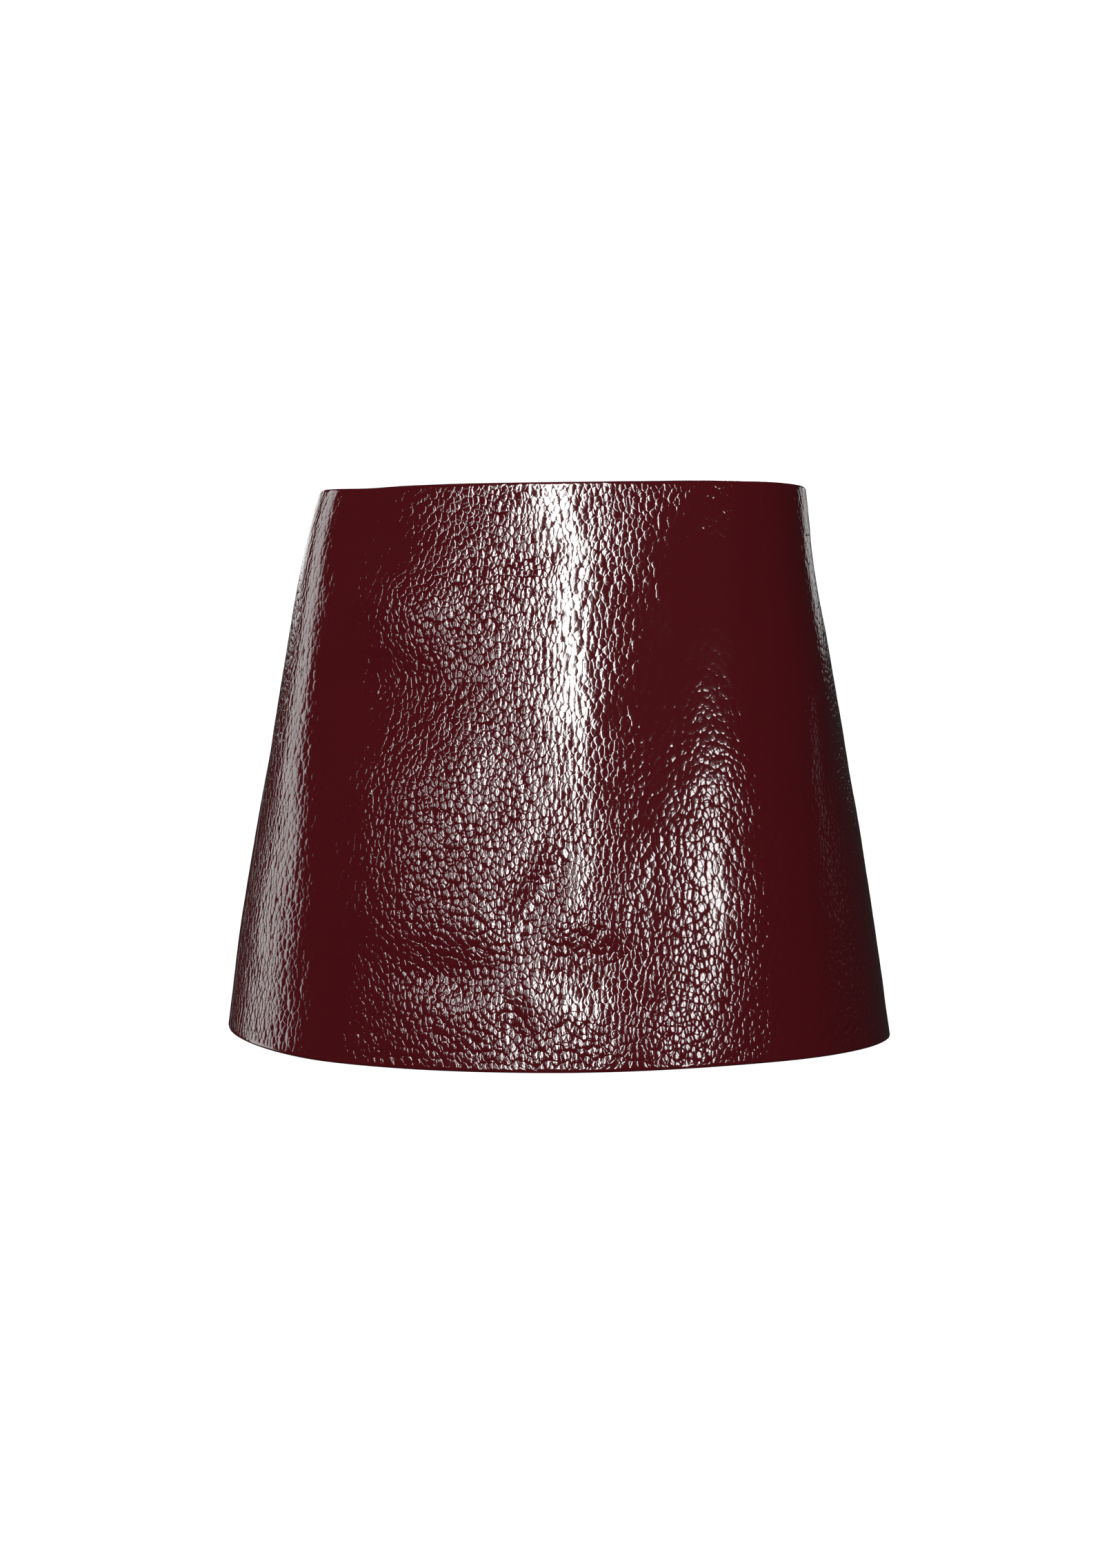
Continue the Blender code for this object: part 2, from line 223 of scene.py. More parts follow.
def waves(across, down, size, seed):
    """Smooth unevenness from -1 to 1, with bumps about as wide as size."""
    column = np.floor(across / size).astype(np.int64)
    row = np.floor(down / size).astype(np.int64)
    right = across / size - column
    below = down / size - row
    right = right * right * (3.0 - 2.0 * right)
    below = below * below * (3.0 - 2.0 * below)
    top = scattered(column, row, seed) * (1.0 - right) + scattered(column + 1, row, seed) * right
    bottom = scattered(column, row + 1, seed) * (1.0 - right) + scattered(column + 1, row + 1, seed) * right
    return (top * (1.0 - below) + bottom * below) * 2.0 - 1.0


def cells(across, down, size, seed):
    """Distances to the nearest and second nearest of scattered centres, in cell sizes."""
    column = np.floor(across / size).astype(np.int64)
    row = np.floor(down / size).astype(np.int64)
    first = np.full(across.shape, 9.0)
    second = np.full(across.shape, 9.0)
    for right in (-1, 0, 1):
        for below in (-1, 0, 1):
            x = column + right + 0.15 + 0.7 * scattered(column + right, row + below, seed)
            y = row + below + 0.15 + 0.7 * scattered(column + right, row + below, seed + 1)
            distance = np.hypot(x - across / size, y - down / size)
            second = np.minimum(second, np.maximum(first, distance))
            first = np.minimum(first, distance)
    return first, second


# ---------------------------------------------------------------- folds and dents
# Upright folds: rows of drop, place along the cloth from the centre front, reach to its left, reach to
# its right and height outwards, all in metres.
FOLDS = (
    (
        (0.000, 0.062, 0.026, 0.044, -0.0008),
        (0.080, 0.062, 0.026, 0.044, -0.0014),
        (0.140, 0.062, 0.026, 0.044, -0.0018),
        (0.200, 0.062, 0.026, 0.044, -0.0020),
        (0.260, 0.062, 0.026, 0.044, -0.0018),
        (0.290, 0.062, 0.026, 0.044, -0.0004),
        (0.340, 0.060, 0.028, 0.044, 0.0006),
    ),
    (
        (0.000, -0.100, 0.034, 0.050, -0.0030),
        (0.030, -0.098, 0.034, 0.048, -0.0022),
        (0.048, -0.098, 0.034, 0.048, 0.0002),
        (0.068, -0.100, 0.034, 0.048, 0.0026),
        (0.090, -0.094, 0.034, 0.044, 0.0000),
        (0.115, -0.094, 0.034, 0.044, -0.0042),
        (0.140, -0.096, 0.034, 0.046, -0.0022),
        (0.165, -0.102, 0.034, 0.050, 0.0012),
        (0.200, -0.106, 0.034, 0.052, 0.0030),
        (0.250, -0.102, 0.034, 0.048, 0.0026),
        (0.290, -0.096, 0.034, 0.044, 0.0006),
        (0.340, -0.092, 0.034, 0.044, -0.0004),
    ),
)
# Dents and swellings: place along, drop, half size across and down, lean from upright in degrees
# (positive runs down to the left) and height outwards.
DENTS = (
    (-0.0060, 0.2360, 0.0130, 0.0320, 32.0, -0.0025),
    (-0.0150, 0.0420, 0.0100, 0.0350, 80.0, -0.0013),
    (-0.0600, 0.2800, 0.0150, 0.0360, 92.0, -0.0026),
    (0.0280, 0.2760, 0.0160, 0.0400, 102.0, -0.0024),
    (-0.0200, 0.3060, 0.0080, 0.0140, 0.0, -0.0014),
    (0.0500, 0.3150, 0.0250, 0.0350, 0.0, 0.0012),
    (-0.1170, 0.0300, 0.0220, 0.0800, 0.0, -0.0024),
    (-0.1580, 0.0300, 0.0180, 0.0700, 0.0, 0.0010),
    (-0.1310, 0.2000, 0.0180, 0.0450, 0.0, -0.0014),
    (-0.1300, 0.3300, 0.0220, 0.0500, 0.0, 0.0016),
    (0.1450, 0.2300, 0.0300, 0.0700, -8.0, 0.0010),
    (0.2000, 0.1500, 0.0280, 0.0600, 12.0, -0.0012),
    (0.2350, 0.2500, 0.0300, 0.0700, -6.0, 0.0012),
    (0.2900, 0.1000, 0.0350, 0.0400, 25.0, -0.0014),
    (0.3300, 0.2300, 0.0320, 0.0800, -10.0, -0.0024),
    (0.3800, 0.1700, 0.0300, 0.0700, 6.0, 0.0016),
    (0.4300, 0.2700, 0.0350, 0.0450, 30.0, -0.0016),
    (-0.2200, 0.1200, 0.0300, 0.0600, -10.0, -0.0012),
    (-0.2700, 0.2400, 0.0300, 0.0700, 8.0, 0.0014),
    (-0.3200, 0.1400, 0.0350, 0.0500, -25.0, -0.0018),
    (-0.3700, 0.2500, 0.0320, 0.0700, 12.0, -0.0022),
    (-0.4200, 0.1600, 0.0300, 0.0600, -8.0, 0.0014),
)
# Patches where the grain stands out more or less than elsewhere, in the same way: added to 1.
GRAIN_PATCHES = (
    (0.1000, 0.0650, 0.0600, 0.0800, 0.0, -0.75),
    (0.1500, 0.2000, 0.0400, 0.2000, 0.0, -0.70),
    (0.0100, 0.0900, 0.0190, 0.1100, 0.0, -0.70),
    (-0.0050, 0.0080, 0.0200, 0.0250, 0.0, -0.45),
    (-0.0750, 0.1500, 0.0450, 0.1500, 0.0, 0.45),
    (-0.1350, 0.1700, 0.0300, 0.2600, 0.0, -0.70),
    (0.0620, 0.1900, 0.0320, 0.1200, 0.0, -0.60),
    (0.0980, 0.2500, 0.0120, 0.0700, 0.0, -0.30),
    (-0.0850, 0.0150, 0.0450, 0.0450, 0.0, -0.40),
    (-0.0950, 0.1200, 0.0350, 0.0300, 0.0, -0.40),
    (-0.0550, 0.2960, 0.0200, 0.0090, 0.0, -0.50),
    (0.0180, 0.2960, 0.0200, 0.0090, 0.0, -0.50),
)


def folded(along, drop):
    total = np.zeros_like(along)
    for fold in FOLDS:
        rows = np.array(fold)
        place, left, right, height = smooth_columns(rows[:, 0], rows[:, 1:], drop.ravel()).T
        beyond = along - place.reshape(along.shape)
        reach = np.where(beyond < 0.0, left.reshape(along.shape), right.reshape(along.shape))
        total += height.reshape(along.shape) * np.exp(-((beyond / reach) ** 2))
    return total


def patches(table, along, drop):
    total = np.zeros_like(along)
    for at_along, at_drop, across, down, lean, amount in table:
        angle = math.radians(lean)
        right = along - at_along
        below = drop - at_drop
        sideways = right * math.cos(angle) + below * math.sin(angle)
        lengthways = -right * math.sin(angle) + below * math.cos(angle)
        total += amount * np.exp(-((sideways / across) ** 2) - (lengthways / down) ** 2)
    return total


def relief(along, drop, around):
    """How far the cloth stands out of its even form, without its fine grain."""
    warp = 0.004 * waves(along, drop, 0.03, 11)
    near, far = cells(along + warp, (drop + warp) * 0.6, 0.0090, 21)
    wrinkle = (far - near).clip(0.0, 0.5) * 0.00015
    sway = 0.00030 * waves(along, drop * 0.7, 0.028, 5) + 0.00011 * waves(along, drop * 0.7, 0.012, 6)
    uneven = folded(along, drop) + patches(DENTS, along, drop) + wrinkle + sway
    from_zip = (0.5 * around - np.abs(along) - ZIP_FLAT).clip(0.0, ZIP_FADE) / ZIP_FADE
    return uneven * from_zip * from_zip * (3.0 - 2.0 * from_zip)


# ---------------------------------------------------------------- panels
CELL = 0.0015
COARSE = 3
RIM_STEPS = 4
SEAM_ROLL = 0.30
ALLOWANCE = 0.010
EDGE_SMOOTH = 0.0022


def add_mesh(name, verts, faces):
    mesh = bpy.data.meshes.new(name)
    mesh.from_pydata(verts, [], faces)
    mesh.validate()
    mesh.shade_smooth()
    thing = bpy.data.objects.new(name, mesh)
    bpy.context.scene.collection.objects.link(thing)
    return thing


def eased(value, start, end):
    share = ((value - start) / (end - start)).clip(0.0, 1.0)
    return share * share * (3.0 - 2.0 * share)


def grid_quads(rows, columns):
    """Faces of a grid of points, facing the side it is wound from, row by row."""
    wide = columns + 1
    first = (np.arange(rows)[:, None] * wide + np.arange(columns)[None, :]).ravel()
    return np.stack((first + wide, first + wide + 1, first + 1, first), axis=-1).tolist()


def edge_loop(rows, columns):
    """Rows and columns of a grid's edge points, once round."""
    along_row = np.arange(columns)
    down = np.arange(rows)
    row = np.concatenate((0 * along_row, down, 0 * along_row + rows, rows - down))
    column = np.concatenate((along_row, 0 * down + columns, columns - along_row, 0 * down))
    return row, column


def lining_faces(rows, columns, ids):
    """Faces of the inner side, three cells to a face, which meet every point of the edge."""
    faces = []
    for row in range(0, rows, COARSE):
        for column in range(0, columns, COARSE):
            last_row = row + COARSE
            last_column = column + COARSE
            top = range(column, last_column) if row == 0 else (column,)
            right = range(row, last_row) if last_column == columns else (row,)
            bottom = range(last_column, column, -1) if last_row == rows else (last_column,)
            left = range(last_row, row, -1) if column == 0 else (last_row,)
            loop = [ids[row, place] for place in top]
            loop += [ids[place, last_column] for place in right]
            loop += [ids[last_row, place] for place in bottom]
            loop += [ids[place, column] for place in left]
            faces.append([int(place) for place in loop])
    return faces


def closed_shell(name, outer, inner, roll):
    """A sheet with a rounded edge from two grids of points. roll is how far each edge point rounds outwards."""
    rows = outer.shape[0] - 1
    columns = outer.shape[1] - 1
    row, column = edge_loop(rows, columns)
    ids = np.full(outer.shape[:2], -1)
    kept = np.zeros(outer.shape[:2], bool)
    kept[::COARSE, ::COARSE] = True
    kept[row, column] = True
    ids[kept] = outer.shape[0] * outer.shape[1] + np.arange(kept.sum())
    verts = [outer.reshape(-1, 3), inner[kept]]
    faces = grid_quads(rows, columns)
    lining = lining_faces(rows, columns, ids)
    before = outer[row, column]
    after = inner[row, column]
    inward_row = np.clip(row, 1, rows - 1)
    inward_column = np.clip(column, 1, columns - 1)
    away = before - outer[inward_row, inward_column]
    away /= np.linalg.norm(away, axis=1, keepdims=True)
    radius = 0.5 * np.linalg.norm(before - after, axis=1, keepdims=True)
    last = row * (columns + 1) + column
    base = len(verts[0]) + len(verts[1])
    count = len(row)
    for step in range(1, RIM_STEPS + 1):
        if step < RIM_STEPS:
            angle = math.pi * step / RIM_STEPS
            middle = 0.5 * (before + after) + 0.5 * (before - after) * math.cos(angle)
            verts.append(middle + away * radius * roll[row, column][:, None] * math.sin(angle))
            ring = base + (step - 1) * count + np.arange(count)
        else:
            ring = ids[row, column]
        following = np.roll(last, -1)
        faces += np.stack((last, following, np.roll(ring, -1), ring), axis=-1).tolist()
        last = ring
    thing = add_mesh(name, np.concatenate(verts).tolist(), faces + lining)
    inside = np.zeros(len(thing.data.polygons), np.int32)
    inside[len(faces):] = 1
    thing.data.polygons.foreach_set("material_index", inside)
    return thing


def slit(drop):
    """Half the gap of the back seam, which opens a little around the slider's neck."""
    opened = eased(drop, SLIDER_TOP - SLIT_EASE, SLIDER_TOP)
    opened *= 1.0 - eased(drop, SLIDER_TOP + SLIDER_LENGTH, SLIDER_TOP + SLIDER_LENGTH + SLIT_EASE)
    return 0.5 * SEAM_GAP + (SLIT_HALF_WIDTH - 0.5 * SEAM_GAP) * opened


def plain_gap(drop):
    return 0.5 * SEAM_GAP + 0.0 * drop


def panel_shell(name, start_seam, end_seam, start_gap, end_gap, width):
    columns = COARSE * int(round(width / CELL / COARSE))
    rows = COARSE * int(round(0.335 / CELL / COARSE))
    share = np.linspace(0.0, 1.0, columns + 1)[None, :]
    level = np.linspace(0.0, 1.0, rows + 1)[:, None]
    turn = np.zeros((rows + 1, columns + 1))
    radius = 0.5 * DOUBLED
    for _ in range(4):
        top = waist_drop(turn.ravel()).reshape(turn.shape) + radius
        bottom = hem_drop(turn.ravel()).reshape(turn.shape) - radius
        drop = top + (bottom - top) * level
        flat = drop.ravel()
        flat_around = FORM.perimeter(flat)
        start = (start_seam(flat) + start_gap(flat) / flat_around).reshape(turn.shape)
        end = (end_seam(flat) - end_gap(flat) / flat_around).reshape(turn.shape)
        turn = start + (end - start) * share
    around = flat_around.reshape(turn.shape)
    along = ((turn + 0.5) % 1.0 - 0.5) * around
    outer = FORM.point(turn, drop)
    normal = FORM.outward(turn, drop)
    outer += normal * relief(along, drop, around)[..., None]
    from_start = (turn - start) * around
    from_end = (end - turn) * around
    zipped = 1.0 - eased(drop, ZIP_LENGTH, ZIP_LENGTH + 0.004)
    start_seamed = 1.0 - zipped if start_gap is slit else 1.0
    end_seamed = 1.0 - zipped if end_gap is slit else 1.0
    folded_in = np.maximum.reduce((
        1.0 - eased(drop - top, WAIST_TURNING, WAIST_TURNING + TURNING_STEP),
        1.0 - eased(bottom - drop, HEM_TURNING, HEM_TURNING + TURNING_STEP),
        (1.0 - eased(from_start, ALLOWANCE, ALLOWANCE + TURNING_STEP)) * start_seamed,
        (1.0 - eased(from_end, ALLOWANCE, ALLOWANCE + TURNING_STEP)) * end_seamed,
    ))
    thickness = LEATHER + (DOUBLED - LEATHER) * folded_in
    inner = outer - normal * thickness[..., None]
    roll = np.full(turn.shape, 1.0)
    roll[:, 0] = SEAM_ROLL
    roll[:, -1] = SEAM_ROLL
    thing = closed_shell(name, outer, inner, roll)
    nearest = np.minimum.reduce((drop - top, bottom - drop, from_start, from_end))
    grain = (1.0 + patches(GRAIN_PATCHES, along, drop)).clip(0.05, 2.0) * eased(nearest, 0.0, EDGE_SMOOTH)
    strength = np.zeros(len(thing.data.vertices))
    strength[:grain.size] = grain.ravel()
    thing.data.attributes.new("grain", "FLOAT", "POINT").data.foreach_set("value", strength)
    return thing


# ---------------------------------------------------------------- zip
def behind_leather(side, offset, drop, depth):
    """Points behind the leather beside the back seam: side -1 or 1, offset from the seam, depth inwards."""
    around = FORM.perimeter(drop)
    turn = back_seam(drop) + side * offset / around
    turned_in = 1.0 - eased(drop, WAIST_TURNING, WAIST_TURNING + TURNING_STEP)
    wall = LEATHER + (DOUBLED - LEATHER) * turned_in + SEAM_GAP
    return FORM.point(turn, drop) - FORM.outward(turn, drop) * (wall + depth)[..., None]


def tape_shell(name, side):
    rows = COARSE * int(round((ZIP_LENGTH - ZIP_TOP) / TAPE_CELL / COARSE))
    columns = COARSE * int(round((TAPE_REACH - TAPE_START) / TAPE_CELL / COARSE))
    drop = np.linspace(ZIP_TOP, ZIP_LENGTH, rows + 1)[:, None] + np.zeros((1, columns + 1))
    offset = np.linspace(TAPE_START, TAPE_REACH, columns + 1)[None, :] + np.zeros((rows + 1, 1))
    if side > 0:
        offset = offset
    else:
        offset = offset[:, ::-1]
    shape = drop.shape
    outer = behind_leather(side, offset.ravel(), drop.ravel(), np.zeros(drop.size)).reshape(*shape, 3)
    depth = np.full(drop.size, TAPE_THICKNESS)
    inner = behind_leather(side, offset.ravel(), drop.ravel(), depth).reshape(*shape, 3)
    return closed_shell(name, outer, inner, np.full(shape, 0.4))


def coil(name, side):
    """One row of the zip's coil: loops that reach a little past the seam's middle, side by side."""
    count = int((ZIP_LENGTH - COIL_TOP) / COIL_PITCH)
    verts = []
    faces = []
    for loop in range(count):
        drop = np.array([COIL_TOP + (loop + 0.25 + 0.25 * side) * COIL_PITCH])
        near = behind_leather(side, np.array([COIL_WIDTH]), drop, np.array([TAPE_THICKNESS + 0.0007]))[0]
        far = behind_leather(side, np.array([-0.0004]), drop, np.array([TAPE_THICKNESS + 0.0007]))[0]
        middle = 0.5 * (near + far)
        across = 0.5 * (near - far)
        out = FORM.outward(back_seam(drop), drop)[0] * 0.0006
        up = np.array((0.0, 0.0, 0.36 * COIL_PITCH))
        base = len(verts)
        for ring in range(1, COIL_RINGS):
            lean = math.pi * ring / COIL_RINGS
            for spoke in range(COIL_SPOKES):
                angle = 2.0 * math.pi * spoke / COIL_SPOKES
                around = out * math.cos(angle) + up * math.sin(angle)
                verts.append(middle + across * math.cos(lean) + around * math.sin(lean) ** 0.6)
        for ring in range(COIL_RINGS - 2):
            for spoke in range(COIL_SPOKES):
                here = base + ring * COIL_SPOKES + spoke
                beside = base + ring * COIL_SPOKES + (spoke + 1) % COIL_SPOKES
                quad = (here, beside, beside + COIL_SPOKES, here + COIL_SPOKES)
                faces.append(quad if side > 0 else quad[::-1])
        first = [base + spoke for spoke in range(COIL_SPOKES)]
        final = [base + (COIL_RINGS - 2) * COIL_SPOKES + spoke for spoke in range(COIL_SPOKES)]
        faces.append(first[::-1] if side > 0 else first)
        faces.append(final if side > 0 else final[::-1])
    return add_mesh(name, [tuple(map(float, vert)) for vert in verts], faces)


# ---------------------------------------------------------------- materials
def new_material(name):
    material = bpy.data.materials.new(name)
    material.use_nodes = True
    return material, material.node_tree, material.node_tree.nodes["Principled BSDF"]


class Nodes:
    """Short ways to build and join shader nodes."""

    def __init__(self, tree):
        self.tree = tree

    def add(self, kind, **settings):
        node = self.tree.nodes.new(kind)
        for key, value in settings.items():
            setattr(node, key, value)
        return node

    def join(self, source, target):
        self.tree.links.new(source, target)

    def math(self, operation, first, second=None):
        node = self.add("ShaderNodeMath", operation=operation)
        for socket, value in zip(node.inputs, (first, second)):
            if value is None:
                continue
            if isinstance(value, (int, float)):
                socket.default_value = value
            else:
                self.join(value, socket)
        return node.outputs[0]

    def vector(self, operation, first, second):
        node = self.add("ShaderNodeVectorMath", operation=operation)
        for socket, value in zip(node.inputs, (first, second)):
            if isinstance(value, tuple):
                socket.default_value = value
            elif isinstance(value, (int, float)):
                socket.default_value = (value, value, value)
            else:
                self.join(value, socket)
        return node.outputs[0]


def patent_leather():
    material, tree, shader = new_material("patent_leather_outside")
    shader.inputs["Base Color"].default_value = (0.062, 0.0040, 0.0062, 1.0)
    shader.inputs["Roughness"].default_value = 0.09
    shader.inputs["IOR"].default_value = 1.5
    n = Nodes(tree)
    place = n.add("ShaderNodeTexCoord").outputs["Object"]
    drift = n.add("ShaderNodeTexNoise")
    drift.inputs["Scale"].default_value = 90.0
    drift.inputs["Detail"].default_value = 1.0
    n.join(place, drift.inputs["Vector"])
    shift = n.vector("MULTIPLY", n.vector("SUBTRACT", drift.outputs["Color"], 0.5), 0.0020)
    moved = n.vector("MULTIPLY", n.vector("ADD", place, shift), (1.0, 1.0, 0.78))
    pebbles = n.add("ShaderNodeTexVoronoi")
    pebbles.inputs["Scale"].default_value = 285.0
    n.join(moved, pebbles.inputs["Vector"])
    creases = n.add("ShaderNodeTexVoronoi", feature="DISTANCE_TO_EDGE")
    creases.inputs["Scale"].default_value = 285.0
    n.join(moved, creases.inputs["Vector"])
    beads = n.add("ShaderNodeTexVoronoi")
    beads.inputs["Scale"].default_value = 560.0
    n.join(moved, beads.inputs["Vector"])
    size = n.add("ShaderNodeTexNoise")
    size.inputs["Scale"].default_value = 38.0
    size.inputs["Detail"].default_value = 1.0
    n.join(place, size.inputs["Vector"])
    grain = n.add("ShaderNodeAttribute", attribute_name="grain").outputs["Fac"]
    large = n.math("POWER", pebbles.outputs["Distance"], 2.6)
    small = n.math("MULTIPLY", n.math("POWER", beads.outputs["Distance"], 2.0), 0.16)
    groove = n.math("POWER", n.math("SUBTRACT", 1.0, n.math("MINIMUM", n.math("MULTIPLY", creases.outputs["Distance"], 6.0), 1.0)), 2.0)
    large = n.math("ADD", large, n.math("MULTIPLY", n.math("MULTIPLY", groove, grain), 0.15))
    uneven = n.math("MULTIPLY", large, n.math("ADD", n.math("MULTIPLY", size.outputs["Fac"], 1.5), 0.35))
    height = n.math("MULTIPLY", n.math("ADD", uneven, small), n.math("MULTIPLY", grain, -1.0))
    bump = n.add("ShaderNodeBump")
    bump.inputs["Distance"].default_value = 0.00042
    n.join(height, bump.inputs["Height"])
    n.join(bump.outputs["Normal"], shader.inputs["Normal"])
    return material


def flesh_side():
    """The leather's dull inside, with a short nap."""
    material, tree, shader = new_material("leather_inside")
    n = Nodes(tree)
    place = n.add("ShaderNodeTexCoord").outputs["Object"]
    nap = n.add("ShaderNodeTexNoise")
    nap.inputs["Scale"].default_value = 900.0
    nap.inputs["Detail"].default_value = 4.0
    n.join(place, nap.inputs["Vector"])
    cloud = n.add("ShaderNodeTexNoise")
    cloud.inputs["Scale"].default_value = 40.0
    n.join(place, cloud.inputs["Vector"])
    tone = n.add("ShaderNodeValToRGB")
    tone.color_ramp.elements[0].color = (0.050, 0.012, 0.014, 1.0)
    tone.color_ramp.elements[1].color = (0.110, 0.032, 0.035, 1.0)
    both = n.math("MULTIPLY", n.math("ADD", nap.outputs["Fac"], cloud.outputs["Fac"]), 0.5)
    n.join(both, tone.inputs["Fac"])
    n.join(tone.outputs["Color"], shader.inputs["Base Color"])
    shader.inputs["Roughness"].default_value = 0.92
    bump = n.add("ShaderNodeBump")
    bump.inputs["Distance"].default_value = 0.00025
    n.join(nap.outputs["Fac"], bump.inputs["Height"])
    n.join(bump.outputs["Normal"], shader.inputs["Normal"])
    return material


def woven(name, dark, light, scale):
    """Woven tape: fine ribs in both directions."""
    material, tree, shader = new_material(name)
    n = Nodes(tree)
    place = n.add("ShaderNodeTexCoord").outputs["Object"]
    parts = n.add("ShaderNodeSeparateXYZ")
    n.join(place, parts.inputs["Vector"])
    warp = n.math("SINE", n.math("MULTIPLY", parts.outputs["X"], scale))
    weft = n.math("SINE", n.math("MULTIPLY", parts.outputs["Z"], scale))
    weave = n.math("ADD", n.math("MULTIPLY", n.math("MULTIPLY", warp, weft), 0.5), 0.5)
    tone = n.add("ShaderNodeValToRGB")
    tone.color_ramp.elements[0].color = dark
    tone.color_ramp.elements[1].color = light
    n.join(weave, tone.inputs["Fac"])
    n.join(tone.outputs["Color"], shader.inputs["Base Color"])
    shader.inputs["Roughness"].default_value = 0.75
    bump = n.add("ShaderNodeBump")
    bump.inputs["Distance"].default_value = 0.00015
    n.join(weave, bump.inputs["Height"])
    n.join(bump.outputs["Normal"], shader.inputs["Normal"])
    return material


def polished_metal():
    """Dark nickel with a faint brushed grain."""
    material, tree, shader = new_material("zip_metal_polished")
    n = Nodes(tree)
    place = n.add("ShaderNodeTexCoord").outputs["Object"]
    long_grain = n.vector("MULTIPLY", place, (1.0, 1.0, 0.08))
    brushed = n.add("ShaderNodeTexNoise")
    brushed.inputs["Scale"].default_value = 2500.0
    n.join(long_grain, brushed.inputs["Vector"])
    shader.inputs["Base Color"].default_value = (0.36, 0.34, 0.33, 1.0)
    shader.inputs["Metallic"].default_value = 1.0
    rough = n.math("ADD", n.math("MULTIPLY", brushed.outputs["Fac"], 0.20), 0.16)
    n.join(rough, shader.inputs["Roughness"])
    bump = n.add("ShaderNodeBump")
    bump.inputs["Distance"].default_value = 0.00002
    n.join(brushed.outputs["Fac"], bump.inputs["Height"])
    n.join(bump.outputs["Normal"], shader.inputs["Normal"])
    return material


def dress(thing, slot, *materials):
    thing.data.materials.clear()
    for material in materials:
        thing.data.materials.append(material)
    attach(thing, "skirt")


# ---------------------------------------------------------------- lights and camera
def softbox(name, azimuth, elevation, distance, width, tall, radiance, roll=0.0, target=(0.0, 0.0, -0.17)):
    """An area light, placed as seen from the skirt. Azimuth 0 is straight in front, positive towards +X."""
    a = math.radians(azimuth)
    e = math.radians(elevation)
    aim = Vector(target)
    away = Vector((math.sin(a) * math.cos(e), -math.cos(a) * math.cos(e), math.sin(e)))
    data = bpy.data.lights.new(name, "AREA")
    data.shape = "RECTANGLE"
    data.size = width
    data.size_y = tall
    data.energy = radiance * math.pi * width * tall
    lamp = bpy.data.objects.new(name, data)
    lamp.location = aim + away * distance
    facing = away.to_track_quat("Z", "Y").to_matrix().to_4x4()
    lamp.matrix_world = Matrix.Translation(aim + away * distance) @ facing @ Matrix.Rotation(math.radians(roll), 4, "Z")
    lamp.visible_camera = False
    bpy.context.scene.collection.objects.link(lamp)
    return lamp


def backdrop():
    """A white studio sweep all round, which only the camera sees, with a pale floor."""
    material, tree, shader = new_material("studio_white")
    shader.inputs["Base Color"].default_value = (0.9, 0.9, 0.9, 1.0)
    shader.inputs["Roughness"].default_value = 0.9
    shader.inputs["Emission Color"].default_value = (1.0, 1.0, 1.0, 1.0)
    shader.inputs["Emission Strength"].default_value = 1.0
    bm = bmesh.new()
    bmesh.ops.create_uvsphere(bm, u_segments=48, v_segments=24, radius=7.0)
    bmesh.ops.reverse_faces(bm, faces=bm.faces)
    mesh = bpy.data.meshes.new("studio_sweep")
    bm.to_mesh(mesh)
    bm.free()
    mesh.materials.append(material)
    sweep = bpy.data.objects.new("studio_sweep", mesh)
    bpy.context.scene.collection.objects.link(sweep)
    bpy.ops.mesh.primitive_circle_add(vertices=96, radius=3.0, fill_type="NGON", location=(0.0, 0.0, FLOOR))
    floor = bpy.context.object
    floor.name = "studio_floor"
    floor.data.materials.append(material)
    for thing in (sweep, floor):
        thing.visible_diffuse = False
        thing.visible_glossy = False
        thing.visible_shadow = False


def camera():
    data = bpy.data.cameras.new("camera")
    data.sensor_fit = "HORIZONTAL"
    data.sensor_width = SENSOR
    data.lens = SENSOR * CAMERA_DISTANCE / VIEW_WIDTH
    thing = bpy.data.objects.new("camera", data)
    bpy.context.scene.collection.objects.link(thing)
    thing.location = (
        CAMERA_DISTANCE * math.sin(CAMERA_TURN),
        -CAMERA_DISTANCE * math.cos(CAMERA_TURN),
        -CAMERA_DROP,
    )
    thing.rotation_euler = (math.radians(90.0), 0.0, CAMERA_TURN)
    bpy.context.scene.camera = thing


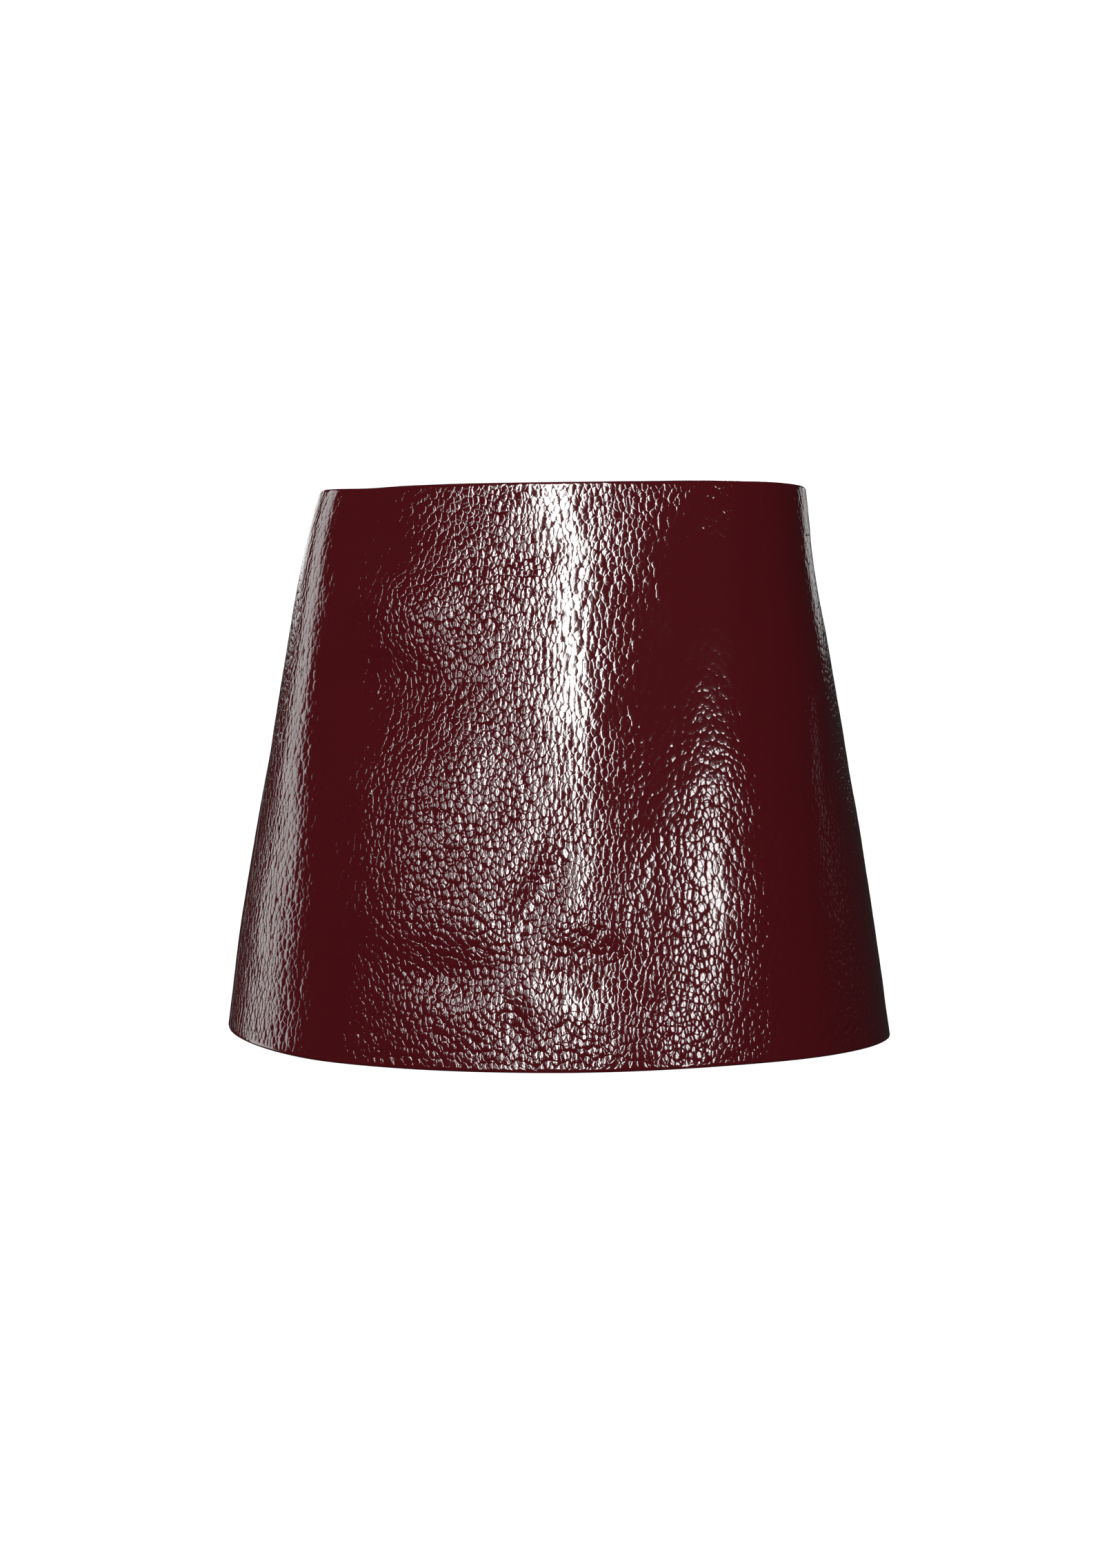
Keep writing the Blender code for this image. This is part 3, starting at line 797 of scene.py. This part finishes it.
outside = patent_leather()
inside = flesh_side()
front = panel_shell("front_leather", left_seam, right_seam, plain_gap, plain_gap, 0.50)
back_right = panel_shell("back_right_leather", right_seam, back_seam, plain_gap, slit, 0.29)
back_left = panel_shell("back_left_leather", back_seam_behind, left_seam, slit, plain_gap, 0.29)
for piece, node in ((front, "front_panel"), (back_right, "back_panel_right"), (back_left, "back_panel_left")):
    dress(piece, "patent_leather", outside, inside)
    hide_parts(node)
tape_cloth = woven("zip_tape_woven", (0.020, 0.003, 0.004, 1.0), (0.060, 0.010, 0.013, 1.0), 9000.0)
coil_plastic = woven("zip_coil_ribbed", (0.030, 0.004, 0.006, 1.0), (0.055, 0.008, 0.011, 1.0), 5000.0)
for side, ending in ((1, "left"), (-1, "right")):
    tape = tape_shell("tape_" + ending, side)
    dress(tape, "zip_tape", tape_cloth, tape_cloth)
    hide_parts("zip_tape_" + ending)
    teeth = coil("coil_" + ending, side)
    dress(teeth, "zip_tape", coil_plastic)
metal = polished_metal()
for node in ("zip_slider", "zip_pull_tab"):
    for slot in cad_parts[node].material_slots:
        slot.material = metal
backdrop()
world = bpy.data.worlds.new("studio")
bpy.context.scene.world = world
world.use_nodes = True
world.node_tree.nodes["Background"].inputs["Color"].default_value = (1.0, 1.0, 1.0, 1.0)
world.node_tree.nodes["Background"].inputs["Strength"].default_value = 0.03
softbox("key", -2.8, 19.0, 2.6, 0.25, 1.85, 34.0)
softbox("left_strip_near", -11.0, 12.5, 2.6, 0.11, 0.75, 9.0)
softbox("left_strip_far", -20.5, 12.5, 2.6, 0.13, 0.48, 20.0)
softbox("right_strip", 28.0, 5.5, 2.6, 0.32, 0.54, 24.0)
softbox("left_panel", -102.0, 8.0, 2.2, 0.95, 2.4, 4.0)
softbox("left_back", -152.0, 18.0, 2.2, 1.3, 0.7, 1.8)
softbox("right_rim", 104.0, 6.0, 2.2, 0.04, 0.20, 1.4)
softbox("right_back", 150.0, 13.0, 2.2, 0.8, 0.3, 1.0)
softbox("behind", 172.0, 27.0, 2.6, 0.40, 0.90, 12.0)
camera()
bpy.context.scene.view_settings.view_transform = "Standard"
